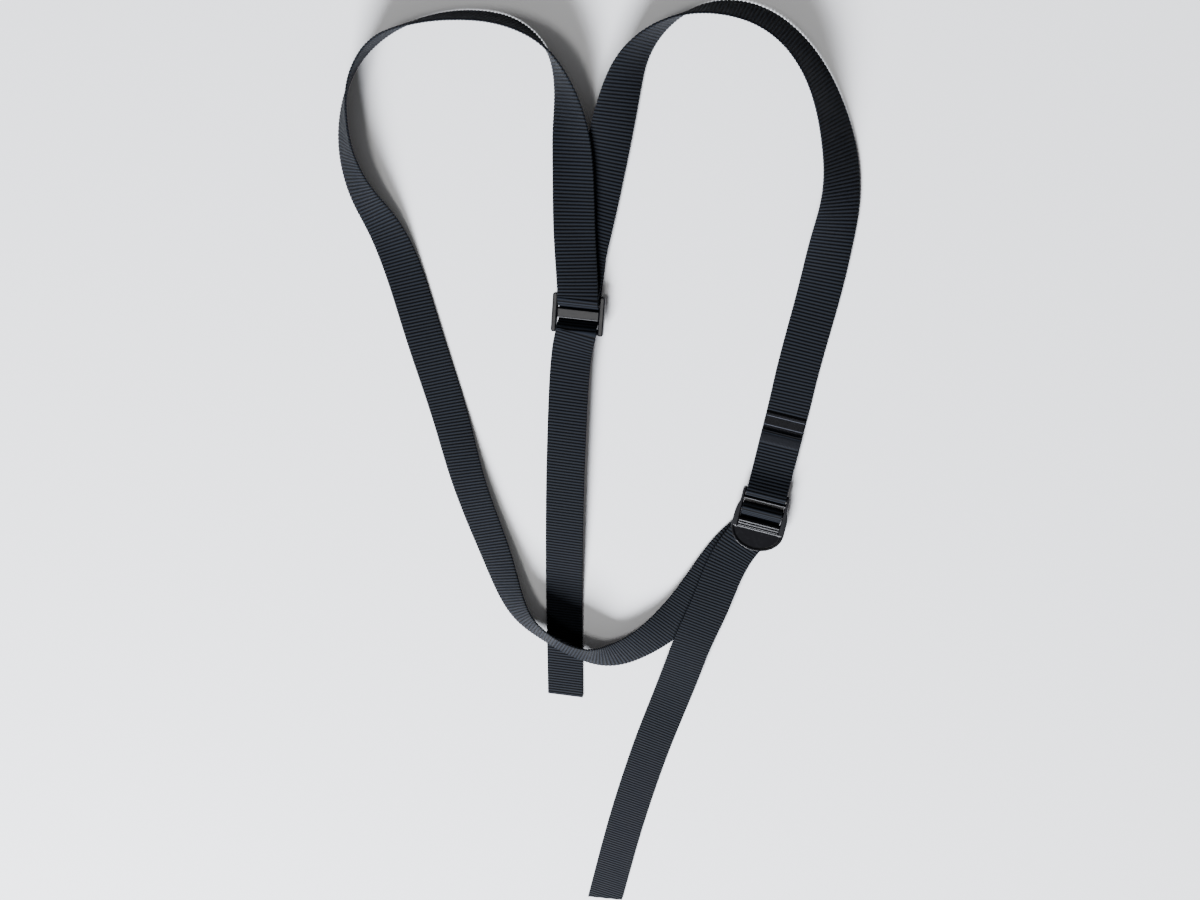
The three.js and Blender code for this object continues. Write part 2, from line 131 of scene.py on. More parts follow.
lockTailRoute = [
    (0.282, -0.106, 0.03, 1, -1),
    (0.243, -0.163, 0.05, 1, -5),
    (0.209, -0.208, 0.05, 1, -5),
    (0.189, -0.241, 0, 1, -2),
    (0.164, -0.281, 0, 0, 0),
    (0.121, -0.348, 0, 0, 0),
    (0.066, -0.450, 0, 0, 0),
    (0.013, -0.570, 0, 0, 0),
]
rightLoopRoute = [
    (-0.027, 0.200, 0.10, 0, 2),
    (-0.004, 0.250, 0.04, 0, 4),
    (0.016, 0.295, 0.03, 0, 13),
    (0.030, 0.323, 0.02, 0, 25),
    (0.045, 0.351, 0.01, 0, 39),
    (0.067, 0.380, 0, 0, 57),
    (0.110, 0.404, 0, 0, 75),
    (0.170, 0.420, 0, 0, 91),
    (0.235, 0.424, 0, 0, 102),
    (0.300, 0.417, 0, 0, 105),
    (0.352, 0.401, 0, 0, 106),
    (0.395, 0.377, 0, 0, 111),
    (0.425, 0.349, 0, 0, 119),
    (0.445, 0.320, 0, 0, 129),
    (0.458, 0.288, 0, 0, 138),
    (0.458, 0.257, 0, 0, 149),
    (0.448, 0.227, 0, 0, 164),
    (0.432, 0.180, 0.01, 0, 178),
    (0.401, 0.104, 0, 0, 180),
]

webbing = {
    "ribPitch": 2.08,           # mm, twelve ribs to a webbing width
    "samplesPerRib": 6,
    "grooveDepth": 0.36,        # mm from crest to groove on each face
    "crestPower": 0.8,          # under 1: broad crests and narrow grooves
    "selvedgeNotch": 0.16,      # mm that the edge draws in at each groove
    "samplesPerSpan": 40,       # points of the curve between two stations
    "wrapStep": 24.0,           # degrees between stations round a bar
    "buckleReach": 9.0,         # mm over which a run held in a buckle becomes free
    "smoothing": 7.0,           # mm over which a free run's curve is evened out
    "tailEndSkew": -16.0,       # degrees that the lock tail's cut is off square
    "sliderTailEndSkew": 0.0,
    "spareEnd": 5.0,            # mm that a run goes past its cut
    "cutReach": 30.0,           # mm round a cut in which faces are cut
}


def hexToLinear(code):
    code = code.lstrip("#")
    channels = [int(code[i:i + 2], 16) / 255 for i in (0, 2, 4)]
    return [c / 12.92 if c <= 0.04045 else ((c + 0.055) / 1.055) ** 2.4 for c in channels] + [1.0]


# A buckle's place in the layout, turned on the table and then pitched about its bars.
def buckleMatrix(place, rise):
    corner = (place["across"] * layout["layWidth"], place["along"] * layout["layLength"], rise)
    return (Matrix.Translation(corner)
            @ Matrix.Rotation(math.radians(place["turn"]), 4, "Z")
            @ Matrix.Rotation(math.radians(place["pitch"]), 4, "X"))


layerPitch = layout["webbingThickness"] + layout["clearance"]
strapFromBar = layout["clearance"] + layout["webbingThickness"] / 2 + layout["bendAllowance"]
lockWrapRadius = lockMoulding["barRadius"] + strapFromBar
lockOuterRadius = lockWrapRadius + layerPitch + layout["bendAllowance"]
lockHeight = lockOuterRadius + layout["webbingThickness"] / 2
sliderMatrix = buckleMatrix(layout["slider"], layout["slider"]["rise"])
lockMatrix = buckleMatrix(layout["lock"], lockHeight)

# The CAD slider is symmetric about its own middle, so its box says where the layout lies.
sliderLow, sliderHigh = (Vector(corner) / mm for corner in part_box("slider"))
layoutShift = (sliderLow + sliderHigh) / 2 - sliderMatrix.translation
sliderMatrix = Matrix.Translation(layoutShift) @ sliderMatrix
lockMatrix = Matrix.Translation(layoutShift) @ lockMatrix
print("layout shift in mm", [round(v, 3) for v in layoutShift])

sliderSlot = 2 * layout["webbingThickness"] + 2 * layout["clearance"] + layout["bendRoom"]
sliderBarY = sliderMoulding["centreBarLength"] / 2 + sliderSlot + sliderMoulding["barRadius"]
sliderFoldRadius = sliderMoulding["barRadius"] + strapFromBar
tabBarTop = -(lockWrapRadius + 1.5 * layout["webbingThickness"] + layout["clearance"]
              + 2 * layout["bendRoom"])
lockRimY = (lockWrapRadius + layout["webbingThickness"] / 2 + 2 * layout["bendRoom"]
            + lockMoulding["rimWidth"] / 2)
lockEndBarY = (lockRimY + lockMoulding["rimWidth"] / 2 + 3 * layout["clearance"]
               + layout["webbingThickness"] + lockMoulding["barRadius"])
labelY = (lockEndBarY + lockMoulding["foldLength"] + lockMoulding["labelFromFold"]
          + lockMoulding["labelLength"] / 2)
onTable = layout["webbingThickness"] / 2 - lockHeight   # flat webbing's middle, in the lock's own heights


# Points of a strap that runs round bars, each (x, y, z, radius, side): side 1 keeps the bar to
# the right of the run, -1 to the left.
def runRoundBars(bars, startAngle, endAngle):
    angles = [startAngle]
    for i, (x, y, z, radius, side) in enumerate(bars):
        angle = endAngle
        if i + 1 < len(bars):
            _, nextY, nextZ, nextRadius, nextSide = bars[i + 1]
            dy, dz = nextY - y, nextZ - z
            spread = (side * radius - nextSide * nextRadius) / math.hypot(dy, dz)
            angle = math.atan2(dz, dy) - math.asin(max(-1, min(1, spread)))
        while -side * (angle - angles[i]) < -math.pi / 2:
            angle -= side * 2 * math.pi
        while -side * (angle - angles[i]) > 1.5 * math.pi:
            angle += side * 2 * math.pi
        angles.append(angle)
    points = []
    for i, (x, y, z, radius, side) in enumerate(bars):
        turn = angles[i + 1] - angles[i]
        steps = max(1, math.ceil(abs(turn) / math.radians(webbing["wrapStep"])))
        for k in range(steps + 1 if abs(turn) > 1e-6 else 1):
            angle = angles[i] + turn * k / steps
            points.append((x, y - side * radius * math.sin(angle), z + side * radius * math.cos(angle)))
    return points


def stationsInBuckle(points, matrix, widthSign):
    width = (matrix.to_3x3() @ Vector((widthSign, 0, 0))).normalized()
    return [(matrix @ Vector(p), width, 1.0) for p in points]


def stationsOnTable(rows):
    plan = [Vector((row[0] * layout["layWidth"], row[1] * layout["layLength"], 0)) for row in rows]
    stations = []
    for i, (across, along, lift, layers, leanDegrees) in enumerate(rows):
        run = (plan[min(i + 1, len(plan) - 1)] - plan[max(i - 1, 0)]).normalized()
        side = Vector((0, 0, 1)).cross(run)
        lean = math.radians(leanDegrees)
        rise = (lift * layout["webbingWidth"] + layers * layerPitch
                + (abs(math.sin(lean)) * layout["webbingWidth"]
                   + abs(math.cos(lean)) * layout["webbingThickness"]) / 2)
        width = side * math.cos(lean) + Vector((0, 0, math.sin(lean)))
        stations.append((plan[i] + Vector((0, 0, rise)) + layoutShift, width, 0.0))
    return stations


# One Catmull-Rom piece in Hermite form; centripetal spacing for places, even spacing for widths.
def splineSpan(p0, p1, p2, p3, t, centripetal):
    if centripetal:
        d0, d1, d2 = (max(np.linalg.norm(b - a) ** 0.5, 1e-4)
                      for a, b in ((p0, p1), (p1, p2), (p2, p3)))
    else:
        d0 = d1 = d2 = 1.0
    m1 = ((p1 - p0) / d0 - (p2 - p0) / (d0 + d1) + (p2 - p1) / d1) * d1
    m2 = ((p2 - p1) / d1 - (p3 - p1) / (d1 + d2) + (p3 - p2) / d2) * d1
    t = t[:, None]
    return ((2 * t ** 3 - 3 * t ** 2 + 1) * p1 + (t ** 3 - 2 * t ** 2 + t) * m1
            + (3 * t ** 2 - 2 * t ** 3) * p2 + (t ** 3 - t ** 2) * m2)


def splineThrough(values, perSpan, centripetal):
    values = np.array(values, dtype=float)
    padded = np.vstack([2 * values[0] - values[1], values, 2 * values[-1] - values[-2]])
    spans = [splineSpan(*padded[i:i + 4], np.arange(perSpan) / perSpan, centripetal)
             for i in range(len(values) - 1)]
    return np.vstack(spans + [values[-1:]])


# Evens values out along a run, with both ends held where they are.
def evened(values, spread, step):
    reach = int(3 * spread / step)
    kernel = np.exp(-0.5 * (np.arange(-reach, reach + 1) * step / spread) ** 2)
    kernel /= kernel.sum()
    ends = [2 * values[0] - values[reach:0:-1], values, 2 * values[-1] - values[-2:-reach - 2:-1]]
    padded = np.vstack(ends)
    return np.column_stack([np.convolve(padded[:, k], kernel, "valid") for k in range(padded.shape[1])])


def unit(vectors):
    return vectors / np.linalg.norm(vectors, axis=1)[:, None]


# A strap's run at even steps: place, run, width and face directions, all in mm.
def strapRun(stations):
    perSpan = webbing["samplesPerSpan"]
    places = splineThrough([s[0] for s in stations], perSpan, True)
    widths = splineThrough([s[1] for s in stations], perSpan, False)
    held = splineThrough([[s[2]] for s in stations], perSpan, False)
    length = np.concatenate([[0], np.cumsum(np.linalg.norm(np.diff(places, axis=0), axis=1))])
    step = webbing["ribPitch"] / webbing["samplesPerRib"]
    along = np.arange(0, length[-1], step)
    places, widths, held = (np.column_stack([np.interp(along, length, v[:, k]) for k in range(v.shape[1])])
                            for v in (places, widths, held))
    near = evened(np.clip(held, 0, 1), webbing["buckleReach"], step)
    free = 1 - np.clip(near * 3, 0, 1)      # a third of the way in, the run is already fully held
    free = free * free * (3 - 2 * free)
    places = places + free * (evened(places, webbing["smoothing"], step) - places)
    widths = widths + free * (evened(widths, webbing["smoothing"], step) - widths)
    run = unit(np.gradient(places, axis=0))
    widths = unit(widths - (widths * run).sum(1)[:, None] * run)
    return {"along": along, "places": places, "run": run, "width": widths, "face": np.cross(run, widths)}


sliderCentreHalf = sliderMoulding["centreBarThickness"] / 2
sliderCentreEdge = sliderMoulding["centreBarLength"] / 2 - sliderCentreHalf
sliderRun = runRoundBars([
    (0, -sliderBarY, 0, sliderMoulding["barRadius"] + strapFromBar, 1),
    (0, -sliderCentreEdge, 0, sliderCentreHalf + strapFromBar, -1),
    (0, sliderCentreEdge, 0, sliderCentreHalf + strapFromBar, -1),
    (0, sliderBarY, 0, sliderFoldRadius + layerPitch, 1),
], math.radians(sliderMoulding["tailAngle"]), math.radians(sliderMoulding["loopAngle"]))
tabBarNear = tabBarTop - lockMoulding["barRadius"]
tabBarFar = tabBarTop - lockMoulding["tabBarLength"] + lockMoulding["barRadius"]
strandShift = lockMoulding["strandShift"]
nearShift = strandShift * lockMoulding["nearShiftShare"]
lockRun = runRoundBars([
    (-strandShift, tabBarFar, 0, lockOuterRadius, -1),
    (-nearShift, tabBarNear + lockMoulding["barRadius"], 0, lockOuterRadius, -1),
    (0, 0, 0, lockWrapRadius, -1),
    (-nearShift, tabBarNear, 0, lockWrapRadius, 1),
    (-strandShift, tabBarFar, 0, lockWrapRadius, 1),
], 0, math.pi)

# Both free ends run a little past their cuts, so that a slanted cut has cloth at both corners.
def runOn(last, before):
    return (last[0] + (last[0] - before[0]).normalized() * webbing["spareEnd"], last[1], 0.0)


sliderTail = stationsOnTable(sliderTailRoute)
lockTail = stationsOnTable(lockTailRoute)
longRun = strapRun([runOn(sliderTail[0], sliderTail[1])] + sliderTail
                   + stationsInBuckle(sliderRun, sliderMatrix, -1)
                   + stationsOnTable(leftLoopRoute) + stationsInBuckle(lockRun, lockMatrix, 1)
                   + lockTail + [runOn(lockTail[-1], lockTail[-2])])

foldEndY = sliderBarY + sliderMoulding["foldLength"]
foldMiddleY = sliderBarY + sliderMoulding["foldLength"] / 2
foldEndHeight = layout["webbingThickness"] * sliderMoulding["foldEndLift"]
foldMiddleHeight = layout["webbingThickness"] * sliderMoulding["foldMiddleLift"]


# The slider is pitched, so this gives the place in it that lies at a height above the table.
def inSliderAt(y, height):
    pitch = math.radians(layout["slider"]["pitch"])
    return (height - layout["slider"]["rise"] - y * math.sin(pitch)) / math.cos(pitch)


sliderFoldRun = (
    [(sliderMoulding["foldShift"], foldEndY, inSliderAt(foldEndY, foldEndHeight)),
     (sliderMoulding["foldShift"] / 2, foldMiddleY, inSliderAt(foldMiddleY, foldMiddleHeight))]
    + runRoundBars([(0, sliderBarY, 0, sliderFoldRadius, 1)], math.pi,
                   math.radians(sliderMoulding["foldAngle"]))
    + [(sliderMoulding["foldShift"] / 2, foldMiddleY,
        inSliderAt(foldMiddleY, foldMiddleHeight + sliderMoulding["foldPile"] * layerPitch))])
lockFold = lockMoulding["foldLength"]
lockFoldUnder = [(1.0, 0), (0.55, 0.1), (0.3, 0.6)]     # share of the fold's length, mm over flat webbing
lockFoldOver = [(0.3, 1.6), (0.55, 0.3), (1.0, 0)]      # the same, one layer higher
lockFoldRun = (
    [(0, labelY + lockMoulding["labelLength"], onTable)]
    + [(0, lockEndBarY + lockFold * share, onTable + rise) for share, rise in lockFoldUnder]
    + runRoundBars([(0, lockEndBarY, 0, lockWrapRadius, 1)],
                   math.radians(lockMoulding["foldUnderAngle"]), math.radians(lockMoulding["foldOverAngle"]))
    + [(0, lockEndBarY + lockFold * share, onTable + layerPitch + rise) for share, rise in lockFoldOver])
shortRun = strapRun(stationsInBuckle(sliderFoldRun, sliderMatrix, -1) + stationsOnTable(rightLoopRoute)
                    + stationsInBuckle(lockFoldRun, lockMatrix, -1))
print("webbing run in mm:", round(longRun["along"][-1]), "and", round(shortRun["along"][-1]))


def newObject(name, mesh):
    obj = bpy.data.objects.new(name, mesh)
    bpy.context.scene.collection.objects.link(obj)
    return obj


# Ribbed webbing as a closed ring of points at each step: rounded ribs across both faces, deep
# narrow grooves, and selvedges that draw in at each groove. UVs are metres along and across.
def ribbedWebbing(name, run):
    half = layout["webbingWidth"] / 2
    halfThick = layout["webbingThickness"] / 2
    shares = np.array([0.982, 0.94, 0.66, 0.24, -0.24, -0.66, -0.94, -0.982])   # closer at the selvedges
    across = np.concatenate([[1], shares, [-1], shares[::-1]])
    body = np.interp(np.abs(across), [0.94, 0.982, 1.0], [1.0, 0.72, 0.0])
    sign = np.concatenate([[0], np.ones(8), [0], -np.ones(8)])
    crest = np.abs(np.cos(np.pi * run["along"] / webbing["ribPitch"])) ** webbing["crestPower"]
    rise = halfThick - webbing["grooveDepth"] * (1 - crest)
    reach = half - webbing["selvedgeNotch"] * (1 - crest)
    ringWidth = reach[:, None] * across[None, :]
    ringRise = rise[:, None] * (body * sign)[None, :]
    points = (run["places"][:, None, :] + ringWidth[..., None] * run["width"][:, None, :]
              + ringRise[..., None] * run["face"][:, None, :])
    rows, ring = points.shape[:2]
    n, k = np.meshgrid(np.arange(rows - 1), np.arange(ring), indexing="ij")
    a = n * ring + k
    b = n * ring + (k + 1) % ring
    quads = np.stack([a, b, b + ring, a + ring], -1).reshape(-1, 4)
    caps = [list(range(ring - 1, -1, -1)), [(rows - 1) * ring + i for i in range(ring)]]
    mesh = bpy.data.meshes.new(name)
    mesh.from_pydata((points.reshape(-1, 3) * mm).tolist(), [], quads.tolist() + caps)
    girth = np.concatenate([[0], np.cumsum(np.abs(np.diff(np.append(across, 1))) * half * mm)])
    alongMetres = run["along"] * mm
    uvs = np.stack([
        np.stack([girth[k], alongMetres[n]], -1), np.stack([girth[k + 1], alongMetres[n]], -1),
        np.stack([girth[k + 1], alongMetres[n + 1]], -1), np.stack([girth[k], alongMetres[n + 1]], -1),
    ], 2).reshape(-1, 2)
    capUvs = [(girth[i], alongMetres[-1] if cap else 0.0)
              for cap, order in enumerate((range(ring - 1, -1, -1), range(ring))) for i in order]
    layer = mesh.uv_layers.new(name="webbingMetres")
    layer.data.foreach_set("uv", np.concatenate([uvs.ravel(), np.array(capUvs).ravel()]))
    mesh.shade_smooth()
    mesh.update()
    return newObject(name, mesh)


# Cuts a strap off at an angle near one end and closes the cut.
def cutEnd(obj, run, atStart, back, skewDegrees):
    i = int(np.searchsorted(run["along"], back if atStart else run["along"][-1] - back))
    sign = -1 if atStart else 1
    outward = Vector(run["run"][i]) * sign
    widthWay = Vector(run["width"][i])
    normal = (outward - widthWay * math.tan(math.radians(skewDegrees)) * sign).normalized()
    bm = bmesh.new()
    bm.from_mesh(obj.data)
    centre = Vector(run["places"][i]) * mm
    nearby = [v for v in bm.verts if (v.co - centre).length < webbing["cutReach"] * mm]
    edges = list({e for v in nearby for e in v.link_edges})
    faces = list({f for v in nearby for f in v.link_faces})
    cut = bmesh.ops.bisect_plane(bm, geom=nearby + edges + faces, dist=1e-7, plane_co=centre,
                                 plane_no=normal, clear_outer=True)
    rim = [e for e in cut["geom_cut"] if isinstance(e, bmesh.types.BMEdge)]
    bmesh.ops.holes_fill(bm, edges=rim, sides=0)
    bm.to_mesh(obj.data)
    bm.free()
    obj.data.update()


longStrap = ribbedWebbing("longStrapWebbing", longRun)
shortStrap = ribbedWebbing("shortStrapWebbing", shortRun)
cutEnd(longStrap, longRun, False, webbing["spareEnd"], webbing["tailEndSkew"])
cutEnd(longStrap, longRun, True, webbing["spareEnd"], webbing["sliderTailEndSkew"])
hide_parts("long_strap")
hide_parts("short_strap")
print("webbing faces:", len(longStrap.data.polygons), len(shortStrap.data.polygons))


# A thread or bead through the given points, in metres; round, or taller by heightShare.
def threadTube(points, radius, sides, heightShare=1.0, up=Vector((0, 0, 1))):
    verts, faces = [], []
    for i, point in enumerate(points):
        run = (points[min(i + 1, len(points) - 1)] - points[max(i - 1, 0)]).normalized()
        side = run.cross(up).normalized()
        rise = side.cross(run)
        for k in range(sides):
            turn = 2 * math.pi * k / sides
            verts.append(point + side * radius * math.cos(turn)
                         + rise * radius * heightShare * math.sin(turn))
    for i in range(len(points) - 1):
        for k in range(sides):
            a, b = i * sides + k, i * sides + (k + 1) % sides
            faces.append((a, b, b + sides, a + sides))
    faces.append(tuple(range(sides - 1, -1, -1)))
    faces.append(tuple((len(points) - 1) * sides + k for k in range(sides)))
    return verts, faces


def meshFrom(name, parts):
    verts, faces = [], []
    for partVerts, partFaces in parts:
        faces += [tuple(i + len(verts) for i in face) for face in partFaces]
        verts += partVerts
    mesh = bpy.data.meshes.new(name)
    mesh.from_pydata([tuple(v) for v in verts], [], faces)
    mesh.shade_smooth()
    mesh.update()
    return newObject(name, mesh)


# A place on a strap's face: how far along it, how far across, and how high over the middle.
def onStrap(run, along, across, height):
    place, width, face = (np.array([np.interp(along, run["along"], run[key][:, k]) for k in range(3)])
                          for key in ("places", "width", "face"))
    return Vector(place + width * across + face * height) * mm


stitching = {
    "threadRadius": 0.2,        # mm
    "threadSides": 6,
    "rowSpacing": 0.42,         # mm between passes of the bar tack
    "pointsPerPass": 9,
    "overFace": 0.06,           # mm that a pass's middle line lies over the ribs
    "arch": 0.05,               # mm that a pass rises half way
    "endSink": 0.32,            # mm that it dips at each end
    "unevenEnd": 0.06,          # mm, at random along the strap
    "unevenSide": 0.03,         # mm, at random across it
    "bandLength": 6.6,          # mm along the strap
    "bandInset": 1.6,           # mm from the fold's cut end
    "edgeInset": 0.9,           # mm from each selvedge
    "seed": 11,
}


# A dense bar tack: passes along the strap, side by side over its whole width.
def barTack(name, run, start):
    rng = random.Random(stitching["seed"])
    half = layout["webbingWidth"] / 2 - stitching["edgeInset"]
    passes = int(2 * half / stitching["rowSpacing"])
    top = layout["webbingThickness"] / 2 + stitching["overFace"]
    last = stitching["pointsPerPass"] - 1
    parts = []
    for i in range(passes + 1):
        across = -half + i * stitching["rowSpacing"]
        slant = stitching["rowSpacing"] * (0.5 if i % 2 else -0.5)
        points = []
        for k in range(last + 1):
            t = k / last
            sag = -stitching["endSink"] if k in (0, last) else stitching["arch"] * math.sin(math.pi * t)
            uneven = rng.uniform(-stitching["unevenEnd"], stitching["unevenEnd"]) * (k in (0, last))
            aside = rng.uniform(-stitching["unevenSide"], stitching["unevenSide"])
            points.append(onStrap(run, start + t * stitching["bandLength"] + uneven,
                                  across + slant * (t - 0.5) + aside, top + sag))
        parts.append(threadTube(points, stitching["threadRadius"] * mm, stitching["threadSides"],
                                up=onStrap(run, start, 0, 1) - onStrap(run, start, 0, 0)))
    return meshFrom(name, parts)


shortLength = shortRun["along"][-1]
lockTack = barTack("lockFoldBarTack", shortRun,
                   shortLength - stitching["bandInset"] - stitching["bandLength"])
sliderTack = barTack("sliderFoldBarTack", shortRun, stitching["bandInset"])


searedEnd = {
    "radius": 0.42,             # mm
    "heightShare": 1.45,
    "edgeInset": 0.35,          # mm from each selvedge
    "points": 40,
    "sides": 12,
}


# Nylon cut with a hot knife: a low hard bead runs along the cut.
def searedBead(name, run, atStart, back, skewDegrees):
    along = back if atStart else run["along"][-1] - back
    half = layout["webbingWidth"] / 2 - searedEnd["edgeInset"]
    slope = math.tan(math.radians(skewDegrees))
    wayOut = Vector(run["run"][0 if atStart else -1])
    points = [onStrap(run, along, across, 0) + wayOut * slope * across * mm
              for across in np.linspace(-half, half, searedEnd["points"])]
    return meshFrom(name, [threadTube(points, searedEnd["radius"] * mm, searedEnd["sides"],
                                      heightShare=searedEnd["heightShare"])])


lockTailBead = searedBead("lockTailSearedEnd", longRun, False,
                          webbing["spareEnd"], webbing["tailEndSkew"])
sliderTailBead = searedBead("sliderTailSearedEnd", longRun, True,
                            webbing["spareEnd"], webbing["sliderTailEndSkew"])
print("stitching and seared ends made")


# A mesh copy of a CAD moulding with its edges rounded over, as a moulded part leaves the tool.
def mouldedCopy(name, node, voxel, rounds):
    obj = newObject(name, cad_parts[node].data.copy())
    obj.data.materials.clear()
    remesh = obj.modifiers.new("fineSkin", "REMESH")
    remesh.mode = "VOXEL"
    remesh.voxel_size = voxel * mm
    soften = obj.modifiers.new("edgeRound", "SMOOTH")
    soften.factor = 0.5
    soften.iterations = rounds
    bpy.context.view_layer.update()
    evaluated = obj.evaluated_get(bpy.context.evaluated_depsgraph_get())
    finished = bpy.data.meshes.new_from_object(evaluated)
    obj.modifiers.clear()
    obj.data = finished
    finished.name = name
    finished.shade_smooth()
    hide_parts(node)
    return obj


sliderBody = mouldedCopy("sliderMoulding", "slider",
                         sliderMoulding["skinStep"], sliderMoulding["edgeRounds"])
lockBody = mouldedCopy("ladderLockMoulding", "ladder_lock",
                       lockMoulding["skinStep"], lockMoulding["edgeRounds"])
print("moulding faces:", len(sliderBody.data.polygons), len(lockBody.data.polygons))

label = {
    "thickness": 0.5,           # mm, as all lengths in this dictionary
    "overWebbing": 0.12,
    "sideInset": 0.5,
    "endInset": 0.1,
    "edgeRound": 0.18,
    "cellsAcross": 60,
    "cellsAlong": 36,
    "stitchInset": 1.1,
    "stitchLength": 2.2,
    "stitchCover": 0.86,        # share of each stitch's length that shows
    "stitchArch": 0.1,
    "stitchSink": 0.06,
    "threadRadius": 0.16,
}
labelBase = onTable + layout["webbingThickness"] / 2 + label["overWebbing"]


# The woven label is a thin plate at the CAD label's place, its rim rounded over.
def wovenLabelPlate():
    halfX = layout["webbingWidth"] / 2 - label["sideInset"]
    halfY = lockMoulding["labelLength"] / 2 - label["endInset"]
    xs = np.linspace(-1, 1, label["cellsAcross"] + 1)
    ys = np.linspace(-1, 1, label["cellsAlong"] + 1)
    bm = bmesh.new()
    grid = []
    for y in ys:
        row = []
        for x in xs:
            rim = min((1 - abs(x)) * halfX, (1 - abs(y)) * halfY)
            drop = max(0.0, 1 - rim / label["edgeRound"]) ** 2 * label["edgeRound"]
            row.append(bm.verts.new(lockMatrix @ Vector((x * halfX, labelY + y * halfY,
                                                         labelBase + label["thickness"] - drop))))
        grid.append(row)
    for j in range(len(ys) - 1):
        for i in range(len(xs) - 1):
            bm.faces.new((grid[j][i], grid[j][i + 1], grid[j + 1][i + 1], grid[j + 1][i]))
    rim = [e for e in bm.edges if e.is_boundary]
    walls = bmesh.ops.extrude_edge_only(bm, edges=rim)["geom"]
    down = lockMatrix.to_3x3() @ Vector((0, 0, -(label["thickness"] - label["edgeRound"])))
    lower = [v for v in walls if isinstance(v, bmesh.types.BMVert)]
    bmesh.ops.translate(bm, vec=down, verts=lower)
    bmesh.ops.holes_fill(bm, edges=[e for e in bm.edges if e.is_boundary], sides=0)
    bmesh.ops.recalc_face_normals(bm, faces=bm.faces)
    bmesh.ops.scale(bm, vec=(mm, mm, mm), verts=bm.verts)
    mesh = bpy.data.meshes.new("wovenLabel")
    bm.to_mesh(mesh)
    bm.free()
    layer = mesh.uv_layers.new(name="labelMetres")
    toLabel = (Matrix.Scale(mm, 4) @ lockMatrix @ Matrix.Translation((0, labelY, 0))).inverted()
    for loop in mesh.loops:
        local = toLabel @ mesh.vertices[loop.vertex_index].co
        layer.data[loop.index].uv = (local.x * mm, local.y * mm)
    mesh.shade_smooth()
    return newObject("wovenLabel", mesh)


def labelStitches():
    top = labelBase + label["thickness"]
    halfX = layout["webbingWidth"] / 2 - label["sideInset"] - label["stitchInset"]
    parts = []
    for side in (-1, 1):
        y = labelY + side * (lockMoulding["labelLength"] / 2 - label["stitchInset"])
        count = int(2 * halfX / label["stitchLength"])
        for i in range(count):
            x0 = -halfX + i * label["stitchLength"]
            points = [lockMatrix @ Vector((
                x0 + t * label["stitchLength"] * label["stitchCover"], y,
                top + label["stitchArch"] * math.sin(math.pi * t) - label["stitchSink"])) * mm
                      for t in np.linspace(0, 1, 7)]
            parts.append(threadTube(points, label["threadRadius"] * mm, stitching["threadSides"]))
    return meshFrom("labelStitching", parts)


labelPlate = wovenLabelPlate()
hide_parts("label")
labelThread = labelStitches()
print("label made")


def addNode(tree, kind, settings=None, links=None):
    node = tree.nodes.new(kind)
    for key, value in (settings or {}).items():
        if isinstance(key, int) or key in node.inputs:
            node.inputs[key].default_value = value
        else:
            setattr(node, key, value)
    for key, source in (links or {}).items():
        tree.links.new(source, node.inputs[key])
    return node


def newMaterial(name):
    material = bpy.data.materials.new(name)
    material.use_nodes = True
    tree = material.node_tree
    tree.nodes.clear()
    return material, tree


def finishMaterial(tree, shader):
    addNode(tree, "ShaderNodeOutputMaterial", links={"Surface": shader.outputs["BSDF"]})


webbingFinish = {
    "crest": "#11151b",
    # painted shade: the near-black that the colour fades to down the grooves between the ribs
    "paintedGrooveShade": "#010102",
    "wornCrest": "#1c2129",
    "yarnSpacing": 0.52,        # mm between warp yarns
    "yarnRelief": 0.12,         # mm
    "fibreRelief": 0.1,         # mm
    "mottlePerMetre": 90.0,     # worn patches about 11 mm across
    "fibrePerMetre": 2600.0,    # fibre bundles about 0.4 mm across, coarser than real ones so that they show
    "paintedShadeFrom": 0.5,          # height share of a rib under which the painted groove shade is full
    "roughness": 0.62,
    "roughnessBelow": 0.1,
    "roughnessAbove": 0.14,
    "specular": 0.07,
    "sheen": 0.01,
    "sheenTint": "#b9c4dd",
}
